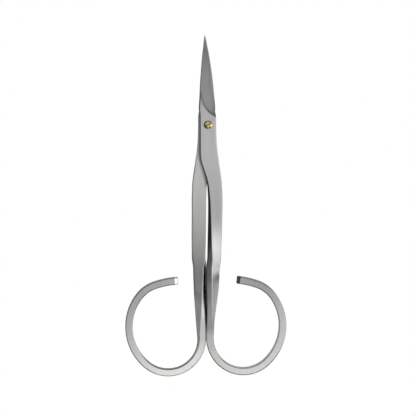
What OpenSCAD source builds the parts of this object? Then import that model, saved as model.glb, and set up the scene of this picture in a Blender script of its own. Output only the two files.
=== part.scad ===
// Cuticle scissors: two mirrored halves, each bent and twisted from one bar, joined by one screw.
// The tool lies flat: +Z up to the screw head, +Y along the blades, origin under the screw.

/* [Blades] */
// Length from the screw to the tips
blade_l = 23.85; // [18:0.05:30]
// Half width of the closed blades where they leave the joint
blade_root_half_w = 2.33; // [1.8:0.01:2.8]
// How much narrower a blade is on its cutting side than on its spine side
edge_setback = 0.3; // [0:0.05:0.6]
// Sideways offset of the closed tips from the screw
tip_shift = -0.88; // [-1.4:0.02:0]
// Half width left at the very tip
tip_half_w = 0.07; // [0.05:0.01:0.3]
// Thickness of the spine at the tip
tip_t = 0.42; // [0.3:0.02:0.8]
// Thickness of the cutting edge
edge_t = 0.16; // [0.1:0.01:0.3]
// Radius of the upward sweep of the blades
sweep_r = 95; // [60:5:200]
// Radius of the curved border of the ground face
grind_r = 7.3; // [5:0.1:10]
// Width of the step down from the flat face to the ground face, along its curved border
grind_step = 0.6; // [0.1:0.05:1.5]
// Width over which the ground face runs out to its full depth
grind_runout = 7; // [1:0.5:10]

/* [Joint] */
// Width of a half at the joint
joint_w = 4.4; // [3.8:0.1:5.2]
// Thickness of a half at the joint
joint_t = 1.7; // [1.2:0.05:2.4]
// Gap between the mating faces
mate_gap = 0.05; // [0.03:0.01:0.15]
// Diameter of the screw's shank
screw_d = 1.4; // [1:0.05:1.8]
// Diameter of the screw's head
head_d = 2.3; // [1.8:0.05:2.8]
// Height of the rim of the head
head_rim_h = 0.12; // [0.1:0.05:0.5]
// Height of the dome above the rim
head_dome_h = 0.44; // [0.1:0.02:0.5]
// Width of the screwdriver slot
slot_w = 0.4; // [0.2:0.02:0.6]
// Depth of the screwdriver slot below the dome's top
slot_depth = 0.4; // [0.1:0.02:0.5]
// Direction of the slot
slot_angle = 24; // [0:1:180]
// Radial running clearance of the front half on the screw
run_clear = 0.03; // [0.01:0.01:0.1]
// Radial clearance of the fixed end of the screw in the back half
thread_clear = 0.02; // [0.01:0.01:0.05]

/* [Shanks] */
// Width of the bar at the crossing, its widest place
crossing_w = 4.85; // [4.2:0.05:5.4]
// Distance from the screw down to that widest place
crossing_y = 9.45; // [8:0.05:11]
// Width of the bar in the shank
shank_w = 3.65; // [3:0.05:4.2]
// Gap between the shanks below the crossing
shank_gap = 0.56; // [0.1:0.02:0.8]
// Gap between the halves where the rings meet
ring_gap = 0.06; // [0.04:0.01:0.3]
// Distance from the screw down to the start of the twist
twist_start = 13.5; // [12:0.5:18]
// Distance from the screw down to the end of the twist
twist_end = 66; // [56:0.5:70]
// Sideways offset of the joint's middle from the screw
joint_shift = -0.18; // [-0.4:0.02:0.4]
// Sideways offset of the closed shanks from the screw
shank_shift = -0.23; // [-0.4:0.01:0.4]
// Sideways offset of the closed rings from the screw
ring_shift = -0.5; // [-0.6:0.05:0.6]

// Distance from the screw down to where the back half's inner flank begins to show
flush_start = 30; // [25:0.5:36]
// Distance from the screw down to where that flank comes out
flush_mid = 37.3; // [36:0.1:38]
// Distance from the screw down to where that flank is out
flush_end = 38.3; // [38:0.1:40]

/* [Rings] */
// Depth of the front ring's bar, across the plane of the ring
ring_depth = 3.5; // [2.6:0.05:4.4]
// How much less deep the back ring's bar is
back_slim = 0.25; // [0:0.01:0.5]
// Thickness of the ring bar, in the plane of the ring
ring_t = 1.95; // [1.5:0.05:2.6]
// Distance from the screw down to the bottom bend of the front ring
ring_y = 57.32; // [50:0.1:62]
// How much lower the back ring lies than the front ring
ring_stagger = 0.28; // [0:0.02:0.6]
// Radius of the bottom bend, on the bar's centre line
bend_r = 9; // [7:0.1:12]
// Angle of the bottom bend
bend_a = 130.4; // [110:0.1:140]
// Radius of the outer side
side_r = 13.4; // [10:0.1:18]
// Angle of the outer side
side_a = 87.3; // [70:0.1:100]
// Radius of the shoulder
shoulder_r = 8.8; // [6:0.1:12]
// Angle of the shoulder
shoulder_a = 33.7; // [20:0.1:45]
// Radius of the last stretch
end_r = 25; // [15:0.5:60]
// Angle of the last stretch of the front ring
front_end_a = 12.6; // [4:0.1:20]
// Angle of the last stretch of the back ring
back_end_a = 14.5; // [4:0.1:20]
// Length of the slopes at the free end of a ring
chamfer_l = 0.85; // [0.3:0.05:1.4]
// How far those slopes come in, on each side
chamfer_drop = 0.62; // [0.2:0.02:1]
// Radius of the edge round the free end
end_edge_r = 0.12; // [0.04:0.01:0.2]

/* [Edges] */
// Radius of the outer edges of the halves
edge_r = 0.38; // [0.1:0.02:0.45]
// Radius of the edges of the mating faces at the joint
mate_edge_r = 0.08; // [0.04:0.01:0.2]
// Radius of the edges of the rings
ring_edge_r = 0.38; // [0.1:0.01:0.4]

/* [Hidden] */
steel = [0.72, 0.72, 0.71];
brass = [0.78, 0.66, 0.36];

// Height of the mating face and the outer face of each half
back_mate_z = joint_t;
front_mate_z = joint_t + mate_gap;
front_top_z = front_mate_z + joint_t;

// Stations along the blade, the shank and the ring bends
blade_steps = 30;
blade_end_bias = 1.25;
shank_steps = 40;
ring_step_a = 6.5;
end_step_a = 3;

// Steps of the screw's dome, from its rim to its top
dome_steps = 8;

// How far the holes and the slot are cut past the faces
cut = 1;

// Points across the outer face and the mating face between their corners
outer_inner_n = 5;
mate_inner_n = 3;

// Outline of the closed blades: distance from the tip as a share of the blade, share of the root half width
blade_shape = [[0, 0], [0.031, 0.066], [0.076, 0.146], [0.12, 0.212], [0.19, 0.335], [0.325, 0.524],
    [0.525, 0.739], [0.729, 0.889], [0.865, 0.985], [1, 1]];

// The bar from the screw to the shank, with distances below the screw as shares of the crossing's distance:
// offset from the middle line as a share of the joint's width, share of the way from the joint's width to
// the crossing's width, and share of the way from there to the shank's width
cross_path = [[0, 0.036], [0.487, 0.055], [0.661, 0.073], [0.831, 0.095], [1, 0.147], [1.17, 0.227],
    [1.34, 0.318], [1.51, 0.394], [1.683, 0.45]];
widen_share = [[0, 0], [0.487, 0.3], [0.831, 0.9], [1, 1]];
narrow_share = [[1, 0], [1.17, 0.27], [1.34, 0.51], [1.51, 0.7], [1.683, 0.81], [1.905, 0.88], [2.54, 1]];

// Where the shanks run straight side by side, and a short stretch beyond that the curve leads into
shank_path_y = 20.7;
path_lead = 2;

// Where the gap between the shanks starts to close and is closed, where the middle line has moved over to
// the rings' middle, and where the bar has taken on the rings' depth and thickness
close_start = 35.5;
close_end = 39.5;
move_end = 42;
grown_end = 38;
// The back half reaches its ring's depth later, and starts and ends growing to its ring's width here
back_slim_end = 44;
back_grow_start = 47;
back_grow_end = 57.5;
// The front half's bar is thicker by front_swell where it twists, from swell_full to swell_fall
front_swell = 0.25;
swell_start = 31;
swell_full = 38.5;
swell_fall = 42.5;
swell_end = 49;
// The crisp inner edge of the back half's mating face starts to soften here
crisp_end = 50;

// Where the front half starts to come down to the table and lies on it
settle_start = 14.5;
settle_end = 47;

// Where the mating faces' crisp edges start to round off, and where the outer edges take the rings' radius
joint_end = 7;
soften_start = 30;
soften_end = 50;

// Twist of each bar: share of the way from its start to its end, share of a quarter turn
front_twist = [[0, 0], [0.145, 0.155], [0.326, 0.325], [0.476, 0.5], [0.543, 0.56], [0.594, 0.635], [0.629, 0.69],
    [0.688, 0.79], [0.751, 0.9], [0.905, 0.99], [1, 1]];
back_twist = [[0, 0], [0.145, 0.06], [0.253, 0.12], [0.38, 0.225], [0.505, 0.345], [0.581, 0.45], [0.629, 0.53],
    [0.676, 0.62], [0.714, 0.69], [0.752, 0.765], [0.8, 0.85], [0.86, 0.93], [0.93, 0.975], [1, 1]];
// Share of its upright stance that the back half's inner flank loses before it comes out
flush_loss = 0.35;

// Centre of the curved border of the ground face, from the screw towards the cutting side and the tip
grind_x = 5.33;
grind_y = 8.62;
grind_slant = 0.25;

// Share of the full depth that the step along the ground face's border goes down
step_share = 0.12;

// Where the blades start to sweep up, from the screw
sweep_start = 3;

// Where the spine would start and stop thinning, as shares of the blade's length
thin_start = -0.3;
thin_end = 1.05;

// Height of the ground face beside the spine, as a share of the spine, and how full its slope is
ground_share = 0.9;
ground_bulge = 0.85;

// Where the cutting side steps in to its setback, from the screw, and how far from the tip it steps out
setback_start = 2;
setback_end = 4.5;
setback_fade = 3;

// Most that an edge's radius may take of a section's width, and of its thickness
round_share_w = 0.3;
round_share_t = 0.4;

// Where the joint's straight sides end and the blades' outline begins, from the screw
root_start = 2.2;
root_end = 4.8;

// Smooth step from 0 to 1 as t goes from a to b
function ease(t, a, b) = let (u = min(1, max(0, (t - a) / (b - a)))) u * u * (3 - 2 * u);

// Value at t of the smooth curve through the points p
function slope(p, i) = i <= 0 ? (p[1][1] - p[0][1]) / (p[1][0] - p[0][0])
    : i >= len(p) - 1 ? (p[i][1] - p[i - 1][1]) / (p[i][0] - p[i - 1][0])
    : (p[i + 1][1] - p[i - 1][1]) / (p[i + 1][0] - p[i - 1][0]);
function span(t, p, i = 0) = i >= len(p) - 2 || t <= p[i + 1][0] ? i : span(t, p, i + 1);
function through(t, p) = let (
    i = span(t, p),
    h = p[i + 1][0] - p[i][0],
    u = min(1, max(0, (t - p[i][0]) / h)),
    a = 2 * u * u * u - 3 * u * u + 1,
    b = u * u * u - 2 * u * u + u,
    c = -2 * u * u * u + 3 * u * u,
    d = u * u * u - u * u
) a * p[i][1] + b * h * slope(p, i) + c * p[i + 1][1] + d * h * slope(p, i + 1);

// Closed outline of a bar section, as [across, up] points from the mating face (up = 0) to the outer face
// (up = the thickness). Each corner is an arc of three points.
function corner(cx, cy, r, a0) = [for (a = [a0, a0 + 45, a0 + 90]) [cx + r * cos(a), cy + r * sin(a)]];
function bar_section(w, t, r_inner, r_mate, r_out) = concat(
    corner(-w / 2 + r_inner, r_inner, r_inner, 180),
    [for (i = [1:mate_inner_n]) [-w / 2 + r_inner + (w - r_inner - r_mate) * i / (mate_inner_n + 1), 0]],
    corner(w / 2 - r_mate, r_mate, r_mate, 270),
    corner(w / 2 - r_out, t - r_out, r_out, 0),
    [for (i = [outer_inner_n:-1:1]) [(w - 2 * r_out) * (i / (outer_inner_n + 1) - 0.5), t]],
    corner(-w / 2 + r_out, t - r_out, r_out, 90)
);
function ring_section(w, t, r) = bar_section(w, t, r, r, r);

// Share of the full thickness left by the grinding wheel: 1 outside the curved border, 0 well inside it
function left_at(inside, width) = pow(1 - min(1, max(0, inside / width)), 2);
function unground(x, y) = let (
    inside = y < grind_y ? grind_r - norm([grind_x - x, grind_y - y])
        : grind_r - (grind_x - x) + (y - grind_y) * grind_slant
) step_share * left_at(inside, grind_step) + (1 - step_share) * left_at(inside, grind_runout);

// Thickness of a blade at x across and y along, between its spine and its cutting edge
function spine_t(y) = joint_t + (tip_t - joint_t) * ease(y, thin_start * blade_l, thin_end * blade_l);
function blade_t(x, y, x_spine, x_edge) = let (
    across = min(1, max(0, (x_edge - x) / (x_edge - x_spine))),
    ground = edge_t + (ground_share * spine_t(y) - edge_t) * pow(across, ground_bulge)
) ground + (joint_t - ground) * unground(x, y);

// Section of a blade at y, as [across, up] points with up measured from the mating face
function blade_half_w(y) = tip_half_w
    + (blade_root_half_w - tip_half_w) * through((blade_l - y) / blade_l, blade_shape);
function blade_section(y) = let (
    root = ease(y, root_end, root_start),
    root_x = cross_path[0][1] * joint_w,
    half = blade_half_w(y),
    x_spine = -half + root * (half + root_x - joint_w / 2),
    x_edge = half - edge_setback * ease(y, setback_start, setback_end) * ease(blade_l - y, 0, setback_fade)
        + root * (root_x + joint_w / 2 - half),
    w = x_edge - x_spine,
    top = function (x) blade_t(x, y, x_spine, x_edge),
    t_edge = top(x_edge),
    r_mate = min(mate_edge_r, round_share_t * edge_t),
    r_spine = min(edge_r, round_share_w * w, round_share_t * spine_t(y)),
    r_edge = min(edge_r, round_share_w * w, round_share_t * t_edge)
) concat(
    corner(x_spine + r_mate, r_mate, r_mate, 180),
    [for (i = [1:mate_inner_n]) [x_spine + w * i / (mate_inner_n + 1), 0]],
    corner(x_edge - r_mate, r_mate, r_mate, 270),
    corner(x_edge - r_edge, t_edge - r_edge, r_edge, 0),
    [for (i = [outer_inner_n:-1:1]) let (x = x_spine + w * i / (outer_inner_n + 1)) [x, top(x)]],
    corner(x_spine + r_spine, top(x_spine + r_spine) - r_spine, r_spine, 90)
);

// Height of the swept mating faces at a distance r from the screw: the same all round the screw, so
// that the blades slide on each other at any angle
function sweep(r) = r <= sweep_start ? 0 : pow(r - sweep_start, 2) / (2 * sweep_r);

// Middle line of the closed tool at y
function middle_x(y) = y >= 0 ? joint_shift + (tip_shift - joint_shift) * pow(y / blade_l, 2)
    : joint_shift + (shank_shift - joint_shift) * ease(-y, joint_end, shank_path_y)
        + (ring_shift - shank_shift) * ease(-y, shank_path_y, move_end);

// Bar of the half on that side, at a distance d below the screw: width, thickness, twist, edge radii
function full_depth(side) = ring_depth - (side < 0 ? back_slim : 0);
function bar_w(d, side) = let (
    u = d / crossing_y,
    slim_y = crossing_y * narrow_share[len(narrow_share) - 1][0]
) u <= 1 ? joint_w + (crossing_w - joint_w) * through(u, widen_share)
    : d <= slim_y ? crossing_w + (shank_w - crossing_w) * through(u, narrow_share)
    : shank_w + (full_depth(side) - shank_w) * ease(d, slim_y, side > 0 ? grown_end : back_slim_end);
function swell(d) = front_swell * ease(d, swell_start, swell_full) * (1 - ease(d, swell_fall, swell_end));
function bar_t(d, side) = side > 0 ? joint_t + (ring_t - joint_t) * ease(d, twist_start, grown_end) + swell(d)
    : joint_t + (ring_t - joint_t) * ease(d, back_grow_start, back_grow_end);
function twist(d, side) = 90 * through((d - twist_start) / (twist_end - twist_start),
    side > 0 ? front_twist : back_twist);
function bar_out_r(d) = edge_r + (ring_edge_r - edge_r) * ease(d, soften_start, soften_end);
function bar_mate_r(d) = mate_edge_r + (bar_out_r(d) - mate_edge_r) * ease(d, joint_end, twist_start);
function bar_inner_r(d, side) = side > 0 ? bar_mate_r(d)
    : mate_edge_r + (bar_out_r(d) - mate_edge_r) * ease(d, crisp_end, ring_y);

// The back half's sections are widened at the top, so that their inner flank hides beneath the face
function flush_share(d) = d > flush_end ? 0
    : 1 - flush_loss * ease(d, flush_start, flush_mid) - (1 - flush_loss) * ease(d, flush_mid, flush_end);
function flush(section, d, side) = let (
    t = bar_t(d, side),
    wider = side > 0 ? 0 : t * tan(twist(d, side)) * flush_share(d)
) [for (p = section) [p[0] - wider * (1 - p[1] / t) * (0.5 - p[0] / bar_w(d, side)), p[1]]];

// Width and height that a twisted bar section takes up
function reach_x(d, side) = let (r = bar_out_r(d), a = twist(d, side))
    (bar_w(d, side) - 2 * r) * cos(a) + (bar_t(d, side) - 2 * r) * sin(a) + 2 * r;
function reach_z(d, side) = let (r = bar_out_r(d), a = twist(d, side))
    (bar_w(d, side) - 2 * r) * sin(a) + (bar_t(d, side) - 2 * r) * cos(a) + 2 * r;

// Offset of the bar's centre from the middle line
function half_gap(d) = (shank_gap + (ring_gap - shank_gap) * ease(d, close_start, close_end)) / 2;
function beside(d, side) = reach_x(d, side) / 2 + half_gap(d);
function offset_x(d, side) = d >= shank_path_y ? beside(d, side)
    : through(d, concat([for (p = cross_path) [p[0] * crossing_y, p[1] * joint_w]],
        [for (y = [shank_path_y, shank_path_y + path_lead]) [y, beside(y, side)]]));

// Height of the bar's centre: it stays on the table as it twists, the front half coming down from its layer
function centre_z(d, side) = reach_z(d, side) / 2
    + (side > 0 ? front_mate_z : 0) * (1 - ease(d, settle_start, settle_end));

// Points of a bar section in space. centre = [across, along, up], heading = direction of travel,
// up_sign = 1 where the outer face is on top, -1 where the mating face is
function place_bar(section, t, centre, heading, turn, up_sign) = [for (p = section) let (
    v = up_sign * (p[1] - t / 2),
    side = p[0] * cos(turn) + v * sin(turn),
    up = -p[0] * sin(turn) + v * cos(turn)
) [centre[0] + side * cos(heading + 90), centre[1] + side * sin(heading + 90), centre[2] + up]];

// Stations of one half, from the tip to the free end of the ring. side = 1 for the half whose ring is at +X,
// which lies in front, and -1 for its mirrored partner behind. A station is a ring of points.
function to_frame(points, side, y_mid) = [for (p = points) [middle_x(y_mid) + side * p[0], p[1], p[2]]];

function blade_stations(side) = let (mate_z = side > 0 ? front_mate_z : back_mate_z)
    [for (i = [0:blade_steps - 1]) let (
        y = blade_l * (1 - pow(i / blade_steps, blade_end_bias)),
        flat = [for (p = blade_section(y)) [middle_x(y) + side * p[0], y, p[1]]]
    ) [for (q = flat) [q[0], q[1], mate_z + sweep(norm([q[0], q[1]])) + side * q[2]]]];

function path_heading(d, side) = let (step = 0.05)
    atan2(-2 * step, offset_x(d + step, side) - offset_x(max(0, d - step), side));
function shank_stations(side, bend_y) = [for (i = [0:shank_steps - 1]) let (
    d = bend_y * i / shank_steps,
    at = [offset_x(d, side), -d, centre_z(d, side)],
    heading = d == 0 ? -90 : path_heading(d, side),
    t = bar_t(d, side),
    section = flush(bar_section(bar_w(d, side), t, bar_inner_r(d, side), bar_mate_r(d), bar_out_r(d)), d, side)
) to_frame(place_bar(section, t, at, heading, twist(d, side), side), side, -d)];

// Ring path: four bends in a row, each [radius, angle]. bend_start gives [x, y, heading] before bend i
function bends(end_a) = [[bend_r, bend_a], [side_r, side_a], [shoulder_r, shoulder_a], [end_r, end_a]];
function along_bend(s, r, a) = let (cx = s[0] - r * sin(s[2]), cy = s[1] + r * cos(s[2]))
    [cx + r * sin(s[2] + a), cy - r * cos(s[2] + a), s[2] + a];
function bend_start(list, i, s) = i == 0 ? s
    : let (q = bend_start(list, i - 1, s)) along_bend(q, list[i - 1][0], list[i - 1][1]);
function ring_stations(side, bend_y, end_a) = let (
    list = bends(end_a),
    start = [beside(bend_y, side), -bend_y, -90],
    chamfer_a = chamfer_l / end_r * 180 / PI,
    body = [for (b = [0:3]) let (
        s = bend_start(list, b, start),
        a_end = b == 3 ? list[b][1] - chamfer_a : list[b][1],
        n = ceil(a_end / (b == 3 ? end_step_a : ring_step_a))
    ) for (i = [0:n - 1]) along_bend(s, list[b][0], a_end * i / n)],
    s3 = bend_start(list, 3, start),
    slope = chamfer_drop / chamfer_l,
    // Each step of the free end: distance before the very end, drop of its slopes, inset of its flanks
    tail = concat([[chamfer_l, 0, 0]], [for (a = [0, 45, 90]) let (inset = end_edge_r * (1 - cos(a)))
        [end_edge_r * (1 - sin(a)), chamfer_drop - end_edge_r * slope * cos(a) + inset, inset]])
) concat(
    [for (q = body) let (
        d = bend_y + (q[2] == -90 ? 0 : bend_r * (q[2] + 90) * PI / 180),
        z = reach_z(min(d, twist_end), side) / 2
    ) to_frame(place_bar(ring_section(full_depth(side), ring_t, ring_edge_r), ring_t,
        [q[0], q[1], z], q[2], twist(d, side), side), side, -bend_y)],
    [for (p = tail) let (
        q = along_bend(s3, end_r, end_a - p[0] / end_r * 180 / PI),
        w = full_depth(side) - 2 * p[1],
        t = ring_t - 2 * p[2]
    ) to_frame(place_bar(ring_section(w, t, ring_edge_r - p[2]), t,
        [q[0], q[1], full_depth(side) / 2], q[2], 90, side), side, -bend_y)]
);

// Solid skin over a list of stations
module skin(stations) {
    n = len(stations[0]);
    m = len(stations);
    points = [for (s = stations, p = s) p];
    walls = [for (j = [0:m - 2], i = [0:n - 1]) let (
        a = j * n + i,
        b = j * n + (i + 1) % n
    ) each [[a, b + n, b], [a, a + n, b + n]]];
    first = [for (i = [0:n - 1]) i];
    final = [for (i = [n - 1:-1:0]) (m - 1) * n + i];
    polyhedron(points, concat(walls, [first], [final]), convexity = 12);
}

module half_blank(side, bend_y, end_a) {
    skin(concat(blade_stations(side), shank_stations(side, bend_y), ring_stations(side, bend_y, end_a)));
}

module front_half() {
    color(steel) difference() {
        half_blank(1, ring_y, front_end_a);
        translate([0, 0, -cut]) cylinder(h = front_top_z + 2 * cut, d = screw_d + 2 * run_clear, $fn = 64);
    }
}

module back_half() {
    color(steel) difference() {
        half_blank(-1, ring_y + ring_stagger, back_end_a);
        translate([0, 0, -cut]) cylinder(h = joint_t + 2 * cut, d = screw_d + 2 * thread_clear, $fn = 64);
    }
}

module pivot_screw() {
    seat_z = front_top_z + mate_gap;
    rim_z = seat_z + head_rim_h;
    top_z = rim_z + head_dome_h;
    dome_r = (pow(head_d / 2, 2) + pow(head_dome_h, 2)) / (2 * head_dome_h);
    dome_a = asin(head_d / 2 / dome_r);
    color(brass) difference() {
        rotate_extrude($fn = 96) polygon(concat(
            [[0, 0], [screw_d / 2, 0], [screw_d / 2, seat_z], [head_d / 2, seat_z]],
            [for (i = [0:dome_steps]) let (a = dome_a * (1 - i / dome_steps))
                [dome_r * sin(a), top_z - dome_r + dome_r * cos(a)]]
        ));
        rotate([0, 0, slot_angle]) translate([-head_d, -slot_w / 2, top_z - slot_depth])
            cube([2 * head_d, slot_w, slot_depth + cut]);
    }
}

front_half();
back_half();
pivot_screw();
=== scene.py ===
import math

import bpy
from mathutils import Matrix, Vector


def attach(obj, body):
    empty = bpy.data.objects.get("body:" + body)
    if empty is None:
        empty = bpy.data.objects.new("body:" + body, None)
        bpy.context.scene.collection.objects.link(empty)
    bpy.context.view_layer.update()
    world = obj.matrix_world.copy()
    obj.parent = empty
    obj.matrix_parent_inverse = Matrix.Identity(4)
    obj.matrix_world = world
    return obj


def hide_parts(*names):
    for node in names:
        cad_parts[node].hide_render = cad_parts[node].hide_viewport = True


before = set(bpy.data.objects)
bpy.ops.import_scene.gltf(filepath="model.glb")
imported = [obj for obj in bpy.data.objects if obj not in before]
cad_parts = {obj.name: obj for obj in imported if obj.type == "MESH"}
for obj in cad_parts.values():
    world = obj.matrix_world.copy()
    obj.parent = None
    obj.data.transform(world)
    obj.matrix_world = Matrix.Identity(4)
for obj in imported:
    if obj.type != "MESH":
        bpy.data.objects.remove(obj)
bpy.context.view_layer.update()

MM = 0.001

# Blades: the outline, the sweep of the mating faces, and the hollow that the grinding wheel left. GRIND_X and
# GRIND_Y are the centre of the wheel's round border, and beyond GRIND_Y the border runs on straight.
BLADE_L = 23.85
BLADE_ROOT_HALF_W = 2.33
EDGE_SETBACK = 0.3
TIP_SHIFT = -0.88
TIP_HALF_W = 0.07
TIP_T = 0.42
EDGE_T = 0.16
SWEEP_R = 95
SWEEP_START = 3
GRIND_R = 7.3
GRIND_STEP = 0.75
GRIND_RUNOUT = 7
STEP_SHARE = 0.12
STEP_FALL = 0.75
GRIND_X = 5.33
GRIND_Y = 8.62
GRIND_SLANT = 0.25
STEP_FALL_X = (-0.5, 2)
GROUND_SHARE = 0.9
GROUND_BULGE = 0.85
THIN_START = -0.3
THIN_END = 1.05
SETBACK_START = 2
SETBACK_END = 4.5
SETBACK_FADE = 3
ROOT_START = 2.2
ROOT_END = 4.8
ROUND_SHARE = 0.3
BLADE_SHAPE = [(0, 0), (0.031, 0.066), (0.076, 0.146), (0.12, 0.212), (0.19, 0.335), (0.325, 0.524),
               (0.525, 0.739), (0.729, 0.889), (0.865, 0.985), (1, 1)]

# Joint and screw
JOINT_W = 4.4
JOINT_T = 1.7
MATE_GAP = 0.05
SCREW_D = 1.4
HEAD_D = 2.3
HEAD_RIM_H = 0.12
HEAD_DOME_H = 0.4
HEAD_EDGE_R = 0.16
HEAD_SEAT_CHAMFER = 0.05
TAIL_INSET = 0.04
TAIL_CHAMFER = 0.08
SLOT_W = 0.4
SLOT_DEPTH = 0.4
SLOT_ANGLE = math.radians(24)
RUN_CLEAR = 0.03
THREAD_CLEAR = 0.02

# Shanks: starts and ends are distances below the screw. The path and width tables run in shares of
# CROSSING_Y, and the twist tables from TWIST_START to TWIST_END in shares of a quarter turn.
CROSSING_W = 4.85
CROSSING_Y = 9.45
SHANK_W = 3.65
SHANK_GAP = 0.56
RING_TOUCH = -0.02
TWIST_START = 13.5
TWIST_END = 66
JOINT_SHIFT = -0.18
SHANK_SHIFT = -0.23
RING_SHIFT = -0.5
SHANK_PATH_Y = 20.7
PATH_LEAD = 2
CLOSE_START = 35.5
CLOSE_END = 38.6
MOVE_END = 42
GROWN_END = 38
BACK_SLIM_END = 44
BACK_GROW_START = 47
BACK_GROW_END = 57.5
FRONT_SWELL = 0.25
SWELL_START = 31
SWELL_FULL = 38.5
SWELL_FALL = 42.5
SWELL_END = 49
SETTLE_START = 14.5
SETTLE_END = 47
JOINT_END = 7
CROSS_PATH = [(0, 0.036), (0.487, 0.055), (0.661, 0.073), (0.831, 0.095), (1, 0.147), (1.17, 0.227),
              (1.34, 0.318), (1.51, 0.394), (1.683, 0.45)]
WIDEN_SHARE = [(0, 0), (0.487, 0.3), (0.831, 0.9), (1, 1)]
NARROW_SHARE = [(1, 0), (1.17, 0.27), (1.34, 0.51), (1.51, 0.7), (1.683, 0.81), (1.905, 0.88), (2.54, 1)]
FRONT_TWIST = [(0, 0), (0.145, 0.155), (0.326, 0.325), (0.476, 0.5), (0.543, 0.56), (0.594, 0.635),
               (0.629, 0.69), (0.688, 0.79), (0.751, 0.9), (0.905, 0.99), (1, 1)]
BACK_TWIST = [(0, 0), (0.145, 0.06), (0.253, 0.12), (0.38, 0.225), (0.505, 0.345), (0.581, 0.45),
              (0.629, 0.53), (0.676, 0.62), (0.714, 0.69), (0.752, 0.765), (0.8, 0.85), (0.86, 0.93),
              (0.93, 0.975), (1, 1)]

# The back half's inner flank stays upright as far as here although the bar twists
FLUSH_START = 30
FLUSH_MID = 37.3
FLUSH_END = 38.3
FLUSH_LOSS = 0.35

# Rings: the arcs are a radius and its degrees, from the bottom bend on, and the angles are the last arc's
RING_DEPTH = 3.5
BACK_SLIM = 0.25
RING_T = 1.95
RING_Y = 57.32
RING_STAGGER = 0.28
BEND = (9, 130.4)
SIDE = (13.4, 87.3)
SHOULDER = (8.8, 33.7)
END_R = 25
FRONT_END_A = 12.6
BACK_END_A = 14.5
CHAMFER_L = 0.85
CHAMFER_DROP = 0.62
CHAMFER_LEAD = 0.05
CHAMFER_ENTRY = 0.06
CHAMFER_SOFT_DROP = 0.012
END_EDGE_R = 0.12

# Edges: the bar's own, that of the mating faces, and the back half's inner one, with its distances
EDGE_R = 0.38
MATE_EDGE_R = 0.08
INNER_R = 0.24
INNER_START = 30
INNER_FULL = 38
CRISP_END = 50

# Shades: the share of the light that a place loses. A shade along a shank is its first level and then smooth
# steps to others, each given as (from, to, level) by the distance below the screw.
FLANK_SHADE = 0.75
FLANK_EDGE = (0.5, 1.1)
LEDGE_SHADE = 0.65
LEDGE_SHADE_W = 0.95
LEDGE_RUN = 3
BLADE_SHADE_END = (6, 9)
FLANK_SHADES = (FLANK_SHADE, (9, 16, 1), (30, 36, 0.72), (41, 44.5, 0.42), (44.5, 50, 0))
LATE_FLANK_SHADES = (0, (45, 50, 0.42), (54, 57, 0))
FRONT_FOOT_SHADES = (0, (37.2, 38.4, 1), (52.5, 57, 0))
FRONT_FOOT_W = (0.26, 0.38)
BACK_FOOT_SHADES = (0, (37.2, 38.2, 1), (55, 57, 0))
BACK_FOOT_FULL_W = (0.36, (44.5, 48, 0))
BACK_FOOT_FAR_W = (0.5, (44.5, 47, 0.6), (48, 51, 0.3), (53, 57, 0.15))
BACK_OUTER_SHADES = (0, (32, 36, 0.6), (46, 52, 0))
BACK_OUTER_W = (0.12, 0.42)

# Shades of the edges that face left, on the rings and by the distance below the screw, and of those that face
# up the picture on the first part of each ring. A facing is a range of the surface's direction.
LEFT_SHADE = 0.5
LEFT_FACING = (0.4, 0.9)
FRONT_LEFT_SHADE = [(0, 0), (50, 0), (56, 0.5), (60, 0.5)]
BACK_LEFT_SHADE = [(0, 0), (8, 0), (10, 0.6), (30, 0.5), (36, 0), (46, 0), (51, 0.2), (55, 0.25), (60, 0.5)]
INNER_SHADE = 0.55
INNER_FACING = (0.25, 0.65)
INNER_SHADE_END = (0.4, 0.5)

# Shade on one side of the screw's head: its direction, and ranges of the radius and of that direction
SCREW_SHADE_A = math.radians(205)
SCREW_SHADE_R = (0.55, 0.85)
SCREW_SHADE_FACING = (0.3, 0.9)

# Painted brightness, standing for light and shade: along the blades from the screw, along the shanks from the
# screw, round each ring from its bend to its free end, and on the chamfer and the face of that end. Below 1
# it is painted shade, above 1 a painted highlight.
BLADE_PAINTED_BRIGHTNESS = [(0, 0.95), (9, 0.85), (13, 0.8), (17, 0.7), (20, 0.57), (23.85, 0.5)]
FRONT_SHANK_PAINTED_BRIGHTNESS = [(0, 0.97), (12, 0.97), (25, 0.85), (33, 1.03), (35.5, 1.05), (37.5, 1.3), (39, 1.6),
                    (42, 1.62), (44, 1.3), (46, 1.2), (50, 1.3), (54, 1.2)]
BACK_SHANK_PAINTED_BRIGHTNESS = [(0, 1.02), (16, 1.04), (25, 0.92), (32, 0.92), (37, 0.86), (41, 0.8), (46, 1.08),
                   (50, 1.02), (54, 1.0)]
FRONT_RING_PAINTED_BRIGHTNESS = [(0, 0.95), (0.12, 1.2), (0.3, 1.4), (0.6, 1.15), (0.72, 1.0), (0.84, 0.76), (0.92, 0.73),
                   (1, 0.8)]
BACK_RING_PAINTED_BRIGHTNESS = [(0, 1.2), (0.12, 1.55), (0.3, 1.55), (0.6, 0.95), (0.8, 0.8), (1, 0.9)]
FRONT_END_PAINTED_BRIGHTNESS = (0.22, 0.2)
BACK_END_PAINTED_BRIGHTNESS = (1.62, 0.3)
GRAIN_AND_PAINTED_LIGHT_BLEND = 8

# Painted shade on the ground hollow, standing for dark reflections: the brightness left in its rim, the rim's
# width and fade, where it ends along the blade, and how much painted shade the hollow gets toward the cutting
# edge
GROUND_FADE = (-0.03, 0.1)
RIM_PAINTED_BRIGHTNESS = 0.68
RIM_W = 0.55
RIM_FADE = (0.8 * RIM_W, 1.5 * RIM_W)
RIM_END = (8, 9.5)
EDGE_PAINTED_SHADE = 0.6
EDGE_PAINTED_SHADE_X = (0.2, 0.8)

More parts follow.
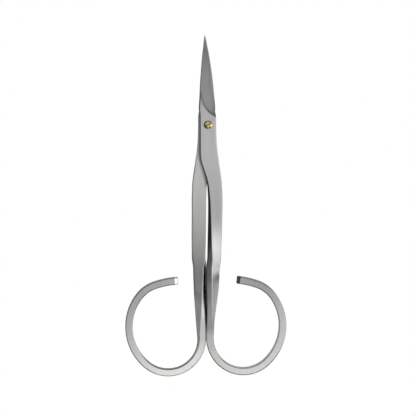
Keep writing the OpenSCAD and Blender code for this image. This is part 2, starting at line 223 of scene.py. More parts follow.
# Grain: scales along and around the bar, on a map that takes 10 mm as 1, and the ranges that shades and
# roughness are spread over
GRAIN_MAP = 0.1
FINE_GRAIN = (1.2, 60.0)
BROAD_GRAIN = (0.5, 14.0)
RING_GRAIN = (45.0, 2.5)
RING_GRAIN_RANGE = (0.2, 0.8)
RING_BUMP_RANGE = (0.35, 0.65)
BUMP_STRENGTH = 0.25
BUMP_DEPTH = 0.01
STEEL_ROUGHNESS = (0.34, 0.28)
BRASS_ROUGHNESS = (0.3, 0.2)
BRASS_SPOTS = 1400.0
NOISE_RANGE = (0.35, 0.65)
GRAIN_RANGE = (0.3, 0.7)
SLOT_FADE = (0.48, 0.5)

# Colours: pairs are the darkest and the lightest of a grain
COOL_STEEL = ((0.565, 0.565, 0.57), (0.635, 0.635, 0.642))
WARM_STEEL = ((0.571, 0.569, 0.558), (0.641, 0.638, 0.625))
GROUND_STEEL = ((0.37, 0.37, 0.36), (0.43, 0.43, 0.42))
# Painted shade colour that the steel is darkened toward
SHADED_STEEL = (0.03, 0.03, 0.03)
TURNED_BRASS = ((0.66, 0.50, 0.20), (0.92, 0.77, 0.40))
# Painted shade colours: in the screw's slot, and on one side of its head
SHADED_SLOT_BRASS = (0.36, 0.31, 0.18)
SHADED_BRASS = (0.08, 0.06, 0.03)
PAPER = (0.9, 0.9, 0.9, 1)
WHITE = (1, 1, 1)
WARM_WHITE = (1.0, 0.93, 0.82)
ROOM_GREY = (0.06, 0.06, 0.06, 1)

# Lights: name, centre, target, width, height, radiance and colour
LIGHTS = [
    ("overhead", (185, 40, 420), (185, 40, 0), 750, 600, 0.70, WHITE),
    ("overhead_left", (-340, 0, 420), (-340, 0, 0), 300, 500, 0.5, WHITE),
    ("right", (520, -40, 200), (0, -40, 120), 700, 350, 1.25, WHITE),
    ("left", (-560, -40, 230), (0, -40, 120), 700, 400, 0.33, WHITE),
    ("front", (40, -560, 330), (0, -40, 0), 500, 260, 0.5, WHITE),
    ("far", (0, 560, 330), (0, -40, 0), 500, 260, 0.35, WHITE),
    ("warm", (30, -230, 330), (0, -60, 0), 160, 160, 0.4, WARM_WHITE),
]

# Floor and camera
FLOOR_HALF = 1500
IMAGE_PX = 416
FOCAL_PX = 3000
SENSOR_W = 36.0
CAMERA_AT = (-29, 22, 804.45)
CAMERA_TARGET = (0, -22.27, 3.45)
CAMERA_CLIP = 10

# Fineness of the meshes
CORNER_N = 6
OUTER_N = 40
MATE_N = 9
SIDE_N = 4
BLADE_STEP = 0.11
BLADE_CROWDING = 1.1
SHANK_STEP = 0.4
RING_STEP = 0.35
HEADING_STEP = 0.05
CHAMFER_N = 4
ROUND_N = 5
END_STATIONS = 2 + CHAMFER_N + ROUND_N
BORE_N = 96
SCREW_N = 128
HEAD_EDGE_N = 8
DOME_N = 12
STEEL_SHARP_A = math.radians(38)
BRASS_SHARP_A = math.radians(30)

# How far a cutting tool reaches past the piece
CUT_PAST = 1

# Heights of the faces
BACK_MATE_Z = JOINT_T
FRONT_MATE_Z = JOINT_T + MATE_GAP
FRONT_TOP_Z = FRONT_MATE_Z + JOINT_T

# Points of a section higher than this above its mating face belong to its outer side
OUTER_UP = EDGE_T / 3

# Below, side is 1 for the front half and -1 for the back half, and d is the distance below the screw


def ease(t, a, b):
    """Smooth step from 0 to 1 as t goes from a to b."""
    u = min(1.0, max(0.0, (t - a) / (b - a)))
    return u * u * (3 - 2 * u)


def stepped(t, level, *steps):
    """Value at t of a first level followed by smooth steps (from, to, level)."""
    for a, b, after in steps:
        level += (after - level) * ease(t, a, b)
    return level


def through(t, points):
    """Value at t of the smooth curve through the points."""
    last = len(points) - 1

    def slope(i):
        lo, hi = max(0, i - 1), min(last, i + 1)
        return (points[hi][1] - points[lo][1]) / (points[hi][0] - points[lo][0])

    i = 0
    while i < last - 1 and t > points[i + 1][0]:
        i += 1
    h = points[i + 1][0] - points[i][0]
    u = min(1.0, max(0.0, (t - points[i][0]) / h))
    value = (2 * u**3 - 3 * u**2 + 1) * points[i][1] + (3 * u**2 - 2 * u**3) * points[i + 1][1]
    return value + (u**3 - 2 * u**2 + u) * h * slope(i) + (u**3 - u**2) * h * slope(i + 1)


def corner(cx, cy, r, a0):
    """Quarter circle of a section's corner."""
    steps = [math.radians(a0 + 90 * k / CORNER_N) for k in range(CORNER_N + 1)]
    return [(cx + r * math.cos(a), cy + r * math.sin(a)) for a in steps]


def between(x0, x1, n):
    """n places strictly between x0 and x1."""
    return [x0 + (x1 - x0) * k / (n + 1) for k in range(1, n + 1)]


def section(x0, x1, top, r_inner, r_mate, r0, r1):
    """Closed outline of a bar: (across, up) points from the mating face at up = 0 to the outer face.
    top gives the outer face's height at an x. The corners have the radii r_inner and r_mate on the mating
    face, and r0 and r1 on the outer face, each at x0 and x1."""
    h0 = top(x0 + r0)
    h1 = top(x1)
    outer = [(x, top(x)) for x in between(x1 - r1, x0 + r0, OUTER_N)]
    points = corner(x0 + r_inner, r_inner, r_inner, 180)
    points += [(x, 0.0) for x in between(x0 + r_inner, x1 - r_mate, MATE_N)]
    points += corner(x1 - r_mate, r_mate, r_mate, 270)
    points += [(x1, up) for up in between(r_mate, h1 - r1, SIDE_N)]
    points += corner(x1 - r1, h1 - r1, r1, 0)
    points += outer
    points += corner(x0 + r0, h0 - r0, r0, 90)
    points += [(x0, up) for up in between(h0 - r0, r_inner, SIDE_N)]
    return points


def bar_section(w, t, r_inner, r_mate, r_out):
    return section(-w / 2, w / 2, lambda x: t, r_inner, r_mate, r_out, r_out)


def inside_grind(x, y):
    """Distance inside the curved border that the grinding wheel left."""
    if y < GRIND_Y:
        return GRIND_R - math.hypot(GRIND_X - x, GRIND_Y - y)
    return GRIND_R - (GRIND_X - x) + (y - GRIND_Y) * GRIND_SLANT


def unground(x, y):
    """Share of the full thickness left by the grinding wheel: 1 outside its border, 0 well inside."""

    def left_at(width):
        return (1 - min(1.0, max(0.0, inside_grind(x, y) / width))) ** 2

    step = STEP_SHARE * (1 - STEP_FALL * ease(x, *STEP_FALL_X))
    return step * left_at(GRIND_STEP) + (1 - step) * left_at(GRIND_RUNOUT)


def blade_half_w(y):
    share = through((BLADE_L - y) / BLADE_L, BLADE_SHAPE)
    return TIP_HALF_W + (BLADE_ROOT_HALF_W - TIP_HALF_W) * share


def blade_section(y):
    root = ease(-y, -ROOT_END, -ROOT_START)
    root_x = CROSS_PATH[0][1] * JOINT_W
    half = blade_half_w(y)
    setback = EDGE_SETBACK * ease(y, SETBACK_START, SETBACK_END) * ease(BLADE_L - y, 0, SETBACK_FADE)
    x_spine = -half + root * (half + root_x - JOINT_W / 2)
    x_edge = half - setback + root * (root_x + JOINT_W / 2 - half)
    w = x_edge - x_spine
    spine_t = JOINT_T + (TIP_T - JOINT_T) * ease(y, THIN_START * BLADE_L, THIN_END * BLADE_L)

    def top(x):
        across = min(1.0, max(0.0, (x_edge - x) / w))
        ground = EDGE_T + (GROUND_SHARE * spine_t - EDGE_T) * across**GROUND_BULGE
        return ground + (JOINT_T - ground) * unground(x, y)

    r_mate = min(MATE_EDGE_R, ROUND_SHARE * EDGE_T)
    r_spine = min(EDGE_R, ROUND_SHARE * w, ROUND_SHARE * spine_t)
    r_edge = min(EDGE_R, ROUND_SHARE * w, ROUND_SHARE * top(x_edge))
    return section(x_spine, x_edge, top, r_mate, r_mate, r_spine, r_edge)


def sweep(r):
    """Height of the swept mating faces at a distance r from the screw."""
    return 0.0 if r <= SWEEP_START else (r - SWEEP_START) ** 2 / (2 * SWEEP_R)


def middle_x(y):
    """Middle line of the closed tool."""
    if y >= 0:
        return JOINT_SHIFT + (TIP_SHIFT - JOINT_SHIFT) * (y / BLADE_L) ** 2
    return (JOINT_SHIFT + (SHANK_SHIFT - JOINT_SHIFT) * ease(-y, JOINT_END, SHANK_PATH_Y)
            + (RING_SHIFT - SHANK_SHIFT) * ease(-y, SHANK_PATH_Y, MOVE_END))


def full_depth(side):
    return RING_DEPTH - (BACK_SLIM if side < 0 else 0)


def bar_w(d, side):
    u = d / CROSSING_Y
    slim_y = CROSSING_Y * NARROW_SHARE[-1][0]
    if u <= 1:
        return JOINT_W + (CROSSING_W - JOINT_W) * through(u, WIDEN_SHARE)
    if d <= slim_y:
        return CROSSING_W + (SHANK_W - CROSSING_W) * through(u, NARROW_SHARE)
    return SHANK_W + (full_depth(side) - SHANK_W) * ease(d, slim_y, GROWN_END if side > 0 else BACK_SLIM_END)


def bar_t(d, side):
    if side < 0:
        return JOINT_T + (RING_T - JOINT_T) * ease(d, BACK_GROW_START, BACK_GROW_END)
    swell = FRONT_SWELL * ease(d, SWELL_START, SWELL_FULL) * (1 - ease(d, SWELL_FALL, SWELL_END))
    return JOINT_T + (RING_T - JOINT_T) * ease(d, TWIST_START, GROWN_END) + swell


def twist(d, side):
    share = through((d - TWIST_START) / (TWIST_END - TWIST_START), FRONT_TWIST if side > 0 else BACK_TWIST)
    return math.radians(90) * share


def bar_mate_r(d):
    return MATE_EDGE_R + (EDGE_R - MATE_EDGE_R) * ease(d, JOINT_END, TWIST_START)


def bar_inner_r(d, side):
    """Radius of the mating face's inner edge, which is crisper on the back half, where it lies on top."""
    if side > 0:
        return bar_mate_r(d)
    crisp = MATE_EDGE_R + (INNER_R - MATE_EDGE_R) * ease(d, INNER_START, INNER_FULL)
    return crisp + (EDGE_R - crisp) * ease(d, CRISP_END, RING_Y)


def flush(points, d, side):
    """The back half's sections widened at the top, so that their inner flank hides beneath the face."""
    if side > 0 or d > FLUSH_END:
        return points
    kept = 1 - FLUSH_LOSS * ease(d, FLUSH_START, FLUSH_MID) - (1 - FLUSH_LOSS) * ease(d, FLUSH_MID, FLUSH_END)
    t = bar_t(d, side)
    wider = t * math.tan(twist(d, side)) * kept
    return [(x - wider * (1 - up / t) * (0.5 - x / bar_w(d, side)), up) for x, up in points]


def reach(d, side, upright):
    """Width of a twisted bar section, or its height where upright is True."""
    w, t = bar_w(d, side) - 2 * EDGE_R, bar_t(d, side) - 2 * EDGE_R
    c, s = math.cos(twist(d, side)), math.sin(twist(d, side))
    return (w * s + t * c if upright else w * c + t * s) + 2 * EDGE_R


def beside(d, side):
    gap = SHANK_GAP + (RING_TOUCH - SHANK_GAP) * ease(d, CLOSE_START, CLOSE_END)
    return (reach(d, side, False) + gap) / 2


def offset_x(d, side):
    """Offset of the bar's centre from the middle line."""
    if d >= SHANK_PATH_Y:
        return beside(d, side)
    path = [(u * CROSSING_Y, x * JOINT_W) for u, x in CROSS_PATH]
    path += [(y, beside(y, side)) for y in (SHANK_PATH_Y, SHANK_PATH_Y + PATH_LEAD)]
    return through(d, path)


def centre_z(d, side):
    lift = FRONT_MATE_Z if side > 0 else 0.0
    return reach(d, side, True) / 2 + lift * (1 - ease(d, SETTLE_START, SETTLE_END))


def on_flank(x, flank):
    """1 on the flank of a section at x = flank, fading to 0 round the edge above it."""
    near, far = FLANK_EDGE
    return 1 - ease(x, flank + near * EDGE_R, flank + far * EDGE_R)


def ledge_shade(from_flank):
    """Shade on the back half's ledge, at a distance from the front half's flank that stands on it."""
    return LEDGE_SHADE * (1 - ease(from_flank, 0.0, LEDGE_SHADE_W))


def painted_shade(side, d, points, placed):
    """Painted shade at each point of a bar section: where the other half keeps the light from the front
    half's inner flank, from the back half's ledge and from the foot of its inner flank, and as a dark
    reflection along the back half's outer edge."""
    foot = min(q[0] for q in placed)
    if side > 0:
        flank_x = -bar_w(d, side) / 2
        share = stepped(d, *FLANK_SHADES) + stepped(d, *LATE_FLANK_SHADES)
        low = stepped(d, *FRONT_FOOT_SHADES)
        return [max(share * on_flank(x, flank_x), low * (1 - ease(q[0] - foot, *FRONT_FOOT_W)))
                for q, (x, up) in zip(placed, points)]
    if d < TWIST_START + LEDGE_RUN:
        flank_x = offset_x(d, 1) - bar_w(d, 1) / 2
        return [ledge_shade(flank_x + q[0]) if up < EDGE_T else 0.0 for q, (x, up) in zip(placed, points)]
    outer = max(q[0] for q in placed)
    edge = stepped(d, *BACK_OUTER_SHADES)
    share = stepped(d, *BACK_FOOT_SHADES)
    full, far = stepped(d, *BACK_FOOT_FULL_W), stepped(d, *BACK_FOOT_FAR_W)
    return [max(share * (1 - ease(q[0] - foot, full, far)), edge * (1 - ease(outer - q[0], *BACK_OUTER_W)))
            for q in placed]


def place_bar(points, t, centre, heading, turn, up_sign):
    """Points of a bar section in space, across its path."""
    placed = []
    for across, up in points:
        v = up_sign * (up - t / 2)
        side = across * math.cos(turn) + v * math.sin(turn)
        rise = v * math.cos(turn) - across * math.sin(turn)
        placed.append((centre[0] - side * math.sin(heading), centre[1] + side * math.cos(heading),
                       centre[2] + rise))
    return placed


def to_frame(points, side, y_mid):
    return [(middle_x(y_mid) + side * x, y, z) for x, y, z in points]


def blade_stations(side):
    """Stations of a blade, from its tip to the screw, and how far their points are ground, carry the painted
    shade of the ground hollow's rim and cutting edge side, and carry other painted shade."""
    mate_z = FRONT_MATE_Z if side > 0 else BACK_MATE_Z
    n = round(BLADE_L / BLADE_STEP)
    stations, ground, painted_rims, shades = [], [], [], []
    for i in range(n):
        y = BLADE_L * (1 - (i / n) ** BLADE_CROWDING)
        points = blade_section(y)
        spine = min(x for x, up in points)
        placed = [(middle_x(y) + side * x, y) for x, up in points]
        stations.append([(px, y, mate_z + sweep(math.hypot(px, y)) + side * up)
                         for (px, y), (x, up) in zip(placed, points)])
        depths = [inside_grind(x, y) if up > OUTER_UP else -1.0 for x, up in points]
        ground.append([ease(depth, *GROUND_FADE) for depth in depths])
        half = blade_half_w(y)
        dark_x = [share * half for share in EDGE_PAINTED_SHADE_X]
        # Painted shade in the hollow's rim and toward its cutting edge
        rim_left = 1 - ease(y, *RIM_END)
        painted_rims.append([ease(depth, *GROUND_FADE) * max((1 - ease(depth, *RIM_FADE)) * rim_left,
                                                     EDGE_PAINTED_SHADE * ease(x, *dark_x))
                     for depth, (x, up) in zip(depths, points)])
        fade = 1 - ease(y, *BLADE_SHADE_END)
        if side > 0:
            shades.append([fade * FLANK_SHADE * on_flank(x, spine) for x, up in points])
        else:
            shades.append([fade * ledge_shade(spine + x) if up < EDGE_T else 0.0 for x, up in points])
    return stations, ground, painted_rims, shades


def shank_stations(side, bend_y):
    """Stations of a shank, from the screw to the ring's bend, and how far their points are shaded."""
    n = round(bend_y / SHANK_STEP)
    stations, shades = [], []
    for i in range(n):
        d = bend_y * i / n
        run = offset_x(d + HEADING_STEP, side) - offset_x(max(0.0, d - HEADING_STEP), side)
        heading = math.atan2(-2 * HEADING_STEP, run) if d else math.radians(-90)
        edges = (bar_inner_r(d, side), bar_mate_r(d), EDGE_R)
        points = flush(bar_section(bar_w(d, side), bar_t(d, side), *edges), d, side)
        centre = (offset_x(d, side), -d, centre_z(d, side))
        placed = place_bar(points, bar_t(d, side), centre, heading, twist(d, side), side)
        stations.append(to_frame(placed, side, -d))
        shades.append(painted_shade(side, d, points, placed))
    return stations, shades


def along_bend(start, r, a):
    """Place and heading after going round a bend of radius r by the angle a."""
    x, y, heading = start
    cx = x - r * math.sin(heading)
    cy = y + r * math.cos(heading)
    return cx + r * math.sin(heading + a), cy - r * math.cos(heading + a), heading + a


def ring_stations(side, bend_y, end_a):
    """Stations of a ring, from the bottom bend to the chamfered free end."""
    at = (beside(bend_y, side), -bend_y, math.radians(-90))
    depth = full_depth(side)
    stations = []
    bottom_length = 0.0

    def add(q, w, t, z, turn):
        r = EDGE_R - (RING_T - t) / 2
        points = bar_section(w, t, r, r, r)
        placed = place_bar(points, t, (q[0], q[1], z), q[2], turn, side)
        stations.append(to_frame(placed, side, -bend_y))

    for r, degrees in (BEND, SIDE, SHOULDER, (END_R, end_a)):
        is_last = r == END_R
        angle = math.radians(degrees)
        stop = angle - (CHAMFER_L / r if is_last else 0)
        n = max(2, round(r * stop / RING_STEP))
        for i in range(n):
            q = along_bend(at, r, stop * i / n)
            d = bend_y + bottom_length + r * stop * i / n
            add(q, depth, RING_T, reach(min(d, TWIST_END), side, True) / 2, twist(d, side))
        if is_last:
            chamfer_start = stop
        else:
            at = along_bend(at, r, angle)
            bottom_length += r * angle
    slope = CHAMFER_DROP / CHAMFER_L
    profile = [(-CHAMFER_LEAD, 0.0), (0.0, CHAMFER_SOFT_DROP), (CHAMFER_ENTRY, CHAMFER_ENTRY * slope)]
    profile += [(s, s * slope) for s in between(CHAMFER_ENTRY, CHAMFER_L - END_EDGE_R, CHAMFER_N)]
    for s, drop in profile:
        q = along_bend(at, END_R, chamfer_start + s / END_R)
        add(q, depth - 2 * drop, RING_T, depth / 2, math.radians(90))
    for k in range(ROUND_N):
        a = math.radians(90 * k / (ROUND_N - 1))
        s = CHAMFER_L - END_EDGE_R * (1 - math.sin(a))
        inset = END_EDGE_R * (1 - math.cos(a))
        drop = CHAMFER_DROP - END_EDGE_R * slope * math.cos(a) + inset
        q = along_bend(at, END_R, chamfer_start + s / END_R)
        add(q, depth - 2 * drop, RING_T - 2 * inset, depth / 2, math.radians(90))
    return stations


def add_object(name, data):
    made = bpy.data.objects.new(name, data)
    bpy.context.scene.collection.objects.link(made)
    return made


def mesh_of(name, points, faces):
    """Mesh over points given in millimetres."""
    mesh = bpy.data.meshes.new(name)
    mesh.from_pydata([Vector(p) * MM for p in points], [], faces)
    return mesh


def skin(name, stations, marks):
    """Closed smooth mesh over the stations. Its UV map gives the distances along and around the bar, and
    marks holds a list of values for each station under each attribute's name."""
    n = len(stations[0])
    turn = CORNER_N + 1 + MATE_N // 2
    order = [(turn + i) % n for i in range(n)]
    first = [Vector(stations[0][order[i]]) for i in (0, n // 4)]
    if (Vector(stations[1][order[0]]) - first[0]).cross(first[1] - first[0]).z > 0:
        order = order[:1] + order[:0:-1]
    stations = [[s[i] for i in order] for s in stations]
    points = [p for s in stations for p in s]
    faces = []
    for j in range(len(stations) - 1):
        for i in range(n):
            a, b = j * n + i, j * n + (i + 1) % n
            faces.append((a, b, b + n, a + n))
    faces.append(tuple(range(n - 1, -1, -1)))
    faces.append(tuple((len(stations) - 1) * n + i for i in range(n)))
    mesh = mesh_of(name, points, faces)

    along = [0.0]
    for before, after in zip(stations, stations[1:]):
        mid0 = sum((Vector(p) for p in before), Vector()) / n
        mid1 = sum((Vector(p) for p in after), Vector()) / n
        along.append(along[-1] + (mid1 - mid0).length)
    around = []
    for s in stations:
        row = [0.0]
        for i in range(n):
            row.append(row[-1] + (Vector(s[(i + 1) % n]) - Vector(s[i])).length)
        around.append([v - row[-1] / 2 for v in row])
    uv = mesh.uv_layers.new(name="grain")
    k = 0
    for j in range(len(stations) - 1):
        for i in range(n):
            for dj, di in ((0, 0), (0, 1), (1, 1), (1, 0)):
                uv.data[k].uv = (along[j + dj] * GRAIN_MAP, around[j + dj][i + di] * GRAIN_MAP)
                k += 1
    for key, rows in marks.items():
        layer = mesh.attributes.new(key, "FLOAT", "POINT")
        layer.data.foreach_set("value", [row[i] for row in rows for i in order])
    mesh.polygons.foreach_set("use_smooth", [True] * len(mesh.polygons))
    mesh.validate()
    mesh.set_sharp_from_angle(angle=STEEL_SHARP_A)
    return add_object(name, mesh)


def circle(r, n):
    angles = [2 * math.pi * k / n for k in range(n)]
    return [(r * math.cos(a), r * math.sin(a)) for a in angles]


def cylinder(name, r, z0, z1):
    n = BORE_N
    points = [(x, y, z) for z in (z0, z1) for x, y in circle(r, n)]
    faces = [(k, (k + 1) % n, n + (k + 1) % n, n + k) for k in range(n)]
    faces += [tuple(range(n - 1, -1, -1)), tuple(range(n, 2 * n))]
    return add_object(name, mesh_of(name, points, faces))


def cut(piece, tool):
    """Cuts the tool out of the piece, for good, and removes the tool."""
    modifier = piece.modifiers.new("cut", "BOOLEAN")
    modifier.operation = "DIFFERENCE"
    modifier.solver = "EXACT"
    modifier.object = tool
    depsgraph = bpy.context.evaluated_depsgraph_get()
    mesh = bpy.data.meshes.new_from_object(piece.evaluated_get(depsgraph))
    piece.modifiers.clear()
    old = piece.data
    piece.data = mesh
    bpy.data.meshes.remove(old)
    bpy.data.objects.remove(tool)


def painted_brightness_rows(side, bend_y, blade, shank, ring, painted_rims):
    """Painted brightness, for light and shade, at each point of all the stations."""
    shank_tone, ring_tone, end_tones = ((FRONT_SHANK_PAINTED_BRIGHTNESS, FRONT_RING_PAINTED_BRIGHTNESS, FRONT_END_PAINTED_BRIGHTNESS) if side > 0
                                        else (BACK_SHANK_PAINTED_BRIGHTNESS, BACK_RING_PAINTED_BRIGHTNESS, BACK_END_PAINTED_BRIGHTNESS))
    end_start = len(ring) - END_STATIONS
    face_start = len(ring) - (ROUND_N - 1)
    painted_brightness = [through(station[0][1], BLADE_PAINTED_BRIGHTNESS) for station in blade]
    for station in shank:
        d = -station[0][1]
        along = through(d, shank_tone)
        painted_brightness.append(along + (ring_tone[0][1] - along) * ease(d, bend_y - GRAIN_AND_PAINTED_LIGHT_BLEND, bend_y))
    painted_brightness += [through(i / end_start, ring_tone) for i in range(end_start)]
    painted_brightness += [end_tones[0 if i < face_start else 1] for i in range(end_start, len(ring))]
    rows = [[v] * len(blade[0]) for v in painted_brightness]
    # Painted shade of the ground hollow's rim and cutting edge side
    for row, rim in zip(rows, painted_rims):
        row[:] = [v * (1 - (1 - RIM_PAINTED_BRIGHTNESS) * share) for v, share in zip(row, rim)]
    return rows


def shade_edges(piece, side, blade, shank, ring):
    """Deepens the shade of the points that face left, and on the rings of those that face up the picture."""
    n = len(blade[0])
    left_shade = FRONT_LEFT_SHADE if side > 0 else BACK_LEFT_SHADE
    left = [0.0] * len(blade) + [through(-station[0][1], left_shade) for station in shank]
    left += [LEFT_SHADE] * len(ring)
    end_start = len(ring) - END_STATIONS
    inner = [0.0] * len(blade + shank)
    inner += [INNER_SHADE * (1 - ease(i / end_start, *INNER_SHADE_END)) for i in range(len(ring))]
    normals = piece.data.vertex_normals
    for v, mark in enumerate(piece.data.attributes["painted_shade"].data):
        normal = normals[v].vector
        mark.value = max(mark.value, left[v // n] * ease(-normal.x, *LEFT_FACING),
                         inner[v // n] * ease(normal.y, *INNER_FACING))


def make_half(name, side, bend_y, end_a, bore_d, z0, z1):
    blade, ground, painted_rims, blade_shades = blade_stations(side)
    shank, shank_shades = shank_stations(side, bend_y)
    ring = ring_stations(side, bend_y, end_a)
    n = len(blade[0])
    plain, full = [0.0] * n, [1.0] * n
    across = [ease(-station[0][1], bend_y - GRAIN_AND_PAINTED_LIGHT_BLEND, bend_y) for station in shank]
    # Two of these marks are painted light and shade: the painted shade of the crevices and edges, and the
    # painted brightness
    marks = {
        "ground": ground + [plain] * len(shank + ring),
        "painted_shade": blade_shades + shank_shades + [plain] * len(ring),
        "cross_grain": [plain] * len(blade) + [[v] * n for v in across] + [full] * len(ring),
        "painted_brightness": painted_brightness_rows(side, bend_y, blade, shank, ring, painted_rims),
        "warm": [plain if side > 0 else full] * len(blade + shank) + [full] * len(ring),
    }
    piece = skin(name, blade + shank + ring, marks)
    shade_edges(piece, side, blade, shank, ring)
    cut(piece, cylinder("bore", bore_d / 2, z0 - CUT_PAST, z1 + CUT_PAST))
    return piece


def make_screw():
    seat_z = FRONT_TOP_Z + MATE_GAP
    top_z = seat_z + HEAD_RIM_H + HEAD_DOME_H
    head_r = HEAD_D / 2
    dome_r = (head_r**2 + HEAD_DOME_H**2) / (2 * HEAD_DOME_H)
    dome_centre = top_z - dome_r
    profile = [(0, TAIL_INSET), (SCREW_D / 2 - TAIL_CHAMFER, TAIL_INSET),
               (SCREW_D / 2, TAIL_INSET + TAIL_CHAMFER), (SCREW_D / 2, seat_z),
               (head_r - HEAD_SEAT_CHAMFER, seat_z), (head_r, seat_z + HEAD_SEAT_CHAMFER)]
    edge_x = head_r - HEAD_EDGE_R
    edge_a = math.asin((head_r - HEAD_EDGE_R) / (dome_r - HEAD_EDGE_R))
    edge_z = dome_centre + (dome_r - HEAD_EDGE_R) * math.cos(edge_a)
    for k in range(HEAD_EDGE_N + 1):
        a = (math.radians(90) - edge_a) * k / HEAD_EDGE_N
        profile.append((edge_x + HEAD_EDGE_R * math.cos(a), edge_z + HEAD_EDGE_R * math.sin(a)))
    for k in range(1, DOME_N + 1):
        a = edge_a * (1 - k / DOME_N)
        profile.append((dome_r * math.sin(a), dome_centre + dome_r * math.cos(a)))
    n = SCREW_N
    rings = profile[1:-1]
    points = [(0, 0, profile[0][1])]
    points += [(x, y, z) for r, z in rings for x, y in circle(r, n)]
    points.append((0, 0, profile[-1][1]))
    top_ring = 1 + (len(rings) - 1) * n
    faces = []
    for k in range(n):
        after = (k + 1) % n
        faces.append((0, 1 + after, 1 + k))
        for a in range(1, top_ring, n):
            faces.append((a + k, a + after, a + n + after, a + n + k))
        faces.append((top_ring + k, top_ring + after, len(points) - 1))
    piece = add_object("brass_screw", mesh_of("brass_screw", points, faces))

    c, s = math.cos(SLOT_ANGLE), math.sin(SLOT_ANGLE)
    half = SLOT_W / 2
    corners = [(-HEAD_D, -half), (HEAD_D, -half), (HEAD_D, half), (-HEAD_D, half)]
    heights = (top_z - SLOT_DEPTH, top_z + CUT_PAST)
    box = [(x * c - y * s, x * s + y * c, z) for z in heights for x, y in corners]
    sides = [(3, 2, 1, 0), (4, 5, 6, 7), (0, 1, 5, 4), (1, 2, 6, 5), (2, 3, 7, 6), (3, 0, 4, 7)]
    cut(piece, add_object("slot", mesh_of("slot", box, sides)))
    marks = piece.data.attributes.new("shade", "FLOAT", "POINT")
    for vertex, mark in zip(piece.data.vertices, marks.data):
        x, y = vertex.co.x / MM / head_r, vertex.co.y / MM / head_r
        r = math.hypot(x, y)
        towards = (x * math.cos(SCREW_SHADE_A) + y * math.sin(SCREW_SHADE_A)) / max(r, 0.01)
        mark.value = ease(r, *SCREW_SHADE_R) * ease(towards, *SCREW_SHADE_FACING)
    piece.data.polygons.foreach_set("use_smooth", [True] * len(piece.data.polygons))
    piece.data.set_sharp_from_angle(angle=BRASS_SHARP_A)
    return piece


# Materials
class Shader:
    """A material's node tree, with short calls for the nodes that it needs."""

    def __init__(self, name):
        self.material = bpy.data.materials.new(name)
        self.material.use_nodes = True
        self.tree = self.material.node_tree
        self.bsdf = self.tree.nodes["Principled BSDF"]

    def node(self, kind, inputs=None, **settings):
        made = self.tree.nodes.new(kind)
        for key, value in settings.items():
            setattr(made, key, value)
        for key, value in (inputs or {}).items():
            if isinstance(value, bpy.types.NodeSocket):
                self.tree.links.new(value, made.inputs[key])
            else:
                made.inputs[key].default_value = value
        return made

    def math(self, operation, a, b=0.0):
        return self.node("ShaderNodeMath", {0: a, 1: b}, operation=operation).outputs[0]

    def noise(self, vector, scale):
        inputs = {"Vector": vector, "Scale": scale, "Detail": 3.0, "Roughness": 0.5}
        return self.node("ShaderNodeTexNoise", inputs).outputs["Fac"]

    def stretch(self, value, lo, hi, to_lo, to_hi):
        inputs = {"Value": value, "From Min": lo, "From Max": hi, "To Min": to_lo, "To Max": to_hi}
        return self.node("ShaderNodeMapRange", inputs).outputs["Result"]

    def blend(self, share, a, b):
        made = self.node("ShaderNodeMix", {0: share}, data_type="RGBA")
        for index, colour in ((6, a), (7, b)):
            if isinstance(colour, bpy.types.NodeSocket):
                self.tree.links.new(colour, made.inputs[index])
            else:
                made.inputs[index].default_value = (*colour, 1.0)
        return made.outputs[2]

    def link(self, value, socket):
        self.tree.links.new(value, self.bsdf.inputs[socket])


def satin_steel():
    s = Shader("satin_steel")
    uv = s.node("ShaderNodeUVMap", uv_map="grain").outputs["UV"]
    split = s.node("ShaderNodeSeparateXYZ", {0: uv})
    along, around = split.outputs[0], split.outputs[1]

    def grain(along_scale, around_scale):
        place = s.node("ShaderNodeCombineXYZ", {0: s.math("MULTIPLY", along, along_scale),
                                                1: s.math("MULTIPLY", around, around_scale)})
        return s.noise(place.outputs[0], 1.0)

    def mark(name):
        return s.node("ShaderNodeAttribute", attribute_name=name).outputs["Fac"]

    fine, broad = grain(*FINE_GRAIN), grain(*BROAD_GRAIN)
    lengthwise = s.math("ADD", s.math("MULTIPLY", fine, 0.5), s.math("MULTIPLY", broad, 0.5))
    crosswise = s.stretch(grain(*RING_GRAIN), 0.0, 1.0, *RING_GRAIN_RANGE)
    inputs = {0: mark("cross_grain"), 2: lengthwise, 3: crosswise}
    mixed = s.node("ShaderNodeMix", inputs, data_type="FLOAT").outputs[0]
    inputs[3] = s.stretch(crosswise, 0.0, 1.0, *RING_BUMP_RANGE)
    height = s.node("ShaderNodeMix", inputs, data_type="FLOAT").outputs[0]
    shade = s.stretch(mixed, *NOISE_RANGE, 0.0, 1.0)
    tint = s.blend(mark("warm"), s.blend(shade, *COOL_STEEL), s.blend(shade, *WARM_STEEL))
    steel = s.blend(mark("ground"), tint, s.blend(shade, *GROUND_STEEL))
    # Painted light and shade: the steel colour scaled by the painted brightness
    painted_bright = s.node("ShaderNodeVectorMath", {0: steel, 3: mark("painted_brightness")}, operation="SCALE").outputs[0]
    # Painted shade: the colour is darkened toward SHADED_STEEL where the painted shade mark is high
    s.link(s.blend(mark("painted_shade"), painted_bright, SHADED_STEEL), "Base Color")
    s.link(s.stretch(mixed, *GRAIN_RANGE, *STEEL_ROUGHNESS), "Roughness")
    inputs = {"Height": height, "Strength": BUMP_STRENGTH, "Distance": BUMP_DEPTH * MM}
    s.link(s.node("ShaderNodeBump", inputs).outputs[0], "Normal")
    s.bsdf.inputs["Metallic"].default_value = 1.0
    return s.material


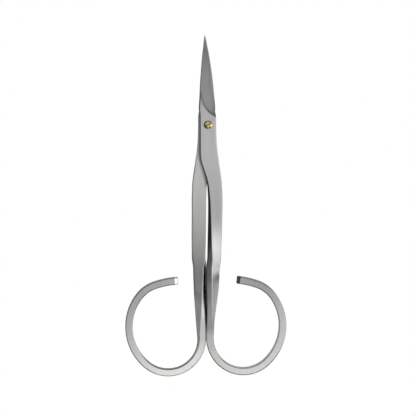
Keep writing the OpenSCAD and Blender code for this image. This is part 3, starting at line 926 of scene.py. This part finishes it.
def brass():
    s = Shader("brass")
    place = s.node("ShaderNodeTexCoord").outputs["Object"]
    spots = s.noise(place, BRASS_SPOTS)
    tint = s.blend(s.stretch(spots, *NOISE_RANGE, 0.0, 1.0), *TURNED_BRASS)
    # Painted shade in the screw's slot: the colour darkens toward the slot colour across the slot's width
    turned = s.node("ShaderNodeVectorRotate", {0: place, 3: SLOT_ANGLE}, rotation_type="Z_AXIS", invert=True)
    across = s.math("ABSOLUTE", s.node("ShaderNodeSeparateXYZ", {0: turned.outputs[0]}).outputs["Y"])
    full, none = (share * SLOT_W * MM for share in SLOT_FADE)
    in_slot = s.stretch(across, full, none, 1.0, 0.0)
    shade = s.node("ShaderNodeAttribute", attribute_name="shade").outputs["Fac"]
    s.link(s.blend(shade, s.blend(in_slot, tint, SHADED_SLOT_BRASS), SHADED_BRASS), "Base Color")
    s.link(s.stretch(spots, *NOISE_RANGE, *BRASS_ROUGHNESS), "Roughness")
    s.bsdf.inputs["Metallic"].default_value = 1.0
    return s.material


def dress(piece, material, body, node):
    piece.data.materials.clear()
    piece.data.materials.append(material)
    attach(piece, body)
    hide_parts(node)


steel_finish = satin_steel()
dress(make_half("front_half_steel", 1, RING_Y, FRONT_END_A, SCREW_D + 2 * RUN_CLEAR, 0, FRONT_TOP_Z),
      steel_finish, "front", "front_half")
dress(make_half("back_half_steel", -1, RING_Y + RING_STAGGER, BACK_END_A, SCREW_D + 2 * THREAD_CLEAR, 0,
                JOINT_T), steel_finish, "back", "back_half")
dress(make_screw(), brass(), "back", "pivot_screw")


# Floor, lights and camera
def make_floor():
    """White paper. The camera sees it evenly lit, and the steel sees its true light and shade."""
    half = FLOOR_HALF
    corners = [(-half, -half, 0), (half, -half, 0), (half, half, 0), (-half, half, 0)]
    floor = add_object("floor", mesh_of("floor", corners, [(0, 1, 2, 3)]))
    s = Shader("white_paper")
    s.bsdf.inputs["Base Color"].default_value = PAPER
    s.bsdf.inputs["Roughness"].default_value = 1.0
    s.bsdf.inputs["Specular IOR Level"].default_value = 0.0
    glow = s.node("ShaderNodeEmission", {"Color": (1, 1, 1, 1), "Strength": 1.0})
    path = s.node("ShaderNodeLightPath")
    mix = s.node("ShaderNodeMixShader", {0: path.outputs["Is Camera Ray"]})
    s.tree.links.new(s.bsdf.outputs[0], mix.inputs[1])
    s.tree.links.new(glow.outputs[0], mix.inputs[2])
    s.tree.links.new(mix.outputs[0], s.tree.nodes["Material Output"].inputs["Surface"])
    floor.data.materials.append(s.material)


def softbox(name, centre, target, width, height, radiance, colour):
    """Area light that looks equally bright from anywhere in front of it, with that radiance."""
    light = bpy.data.lights.new(name, "AREA")
    light.shape = "RECTANGLE"
    light.size = width * MM
    light.size_y = height * MM
    light.energy = radiance * math.pi * width * height * MM * MM
    light.color = colour
    lamp = add_object(name, light)
    lamp.location = Vector(centre) * MM
    towards = Vector(target) - Vector(centre)
    lamp.rotation_euler = towards.to_track_quat("-Z", "Y").to_euler()
    lamp.visible_camera = False


def make_lights():
    world = bpy.data.worlds.new("studio")
    world.use_nodes = True
    background = world.node_tree.nodes["Background"]
    background.inputs["Color"].default_value = ROOM_GREY
    background.inputs["Strength"].default_value = 1.0
    bpy.context.scene.world = world
    for light in LIGHTS:
        softbox(*light)


def make_camera():
    position, target = Vector(CAMERA_AT), Vector(CAMERA_TARGET)
    forward = (target - position).normalized()
    right = forward.cross(Vector((0, 1, 0))).normalized()
    up = right.cross(forward)
    turn = Matrix((right, up, -forward)).transposed()
    camera = bpy.data.cameras.new("camera")
    camera.sensor_width = SENSOR_W
    camera.lens = SENSOR_W * FOCAL_PX / IMAGE_PX
    camera.clip_start = CAMERA_CLIP * MM
    holder = add_object("camera", camera)
    holder.matrix_world = Matrix.Translation(position * MM) @ turn.to_4x4()
    bpy.context.scene.camera = holder


make_floor()
make_lights()
make_camera()
bpy.context.scene.view_settings.view_transform = "Standard"
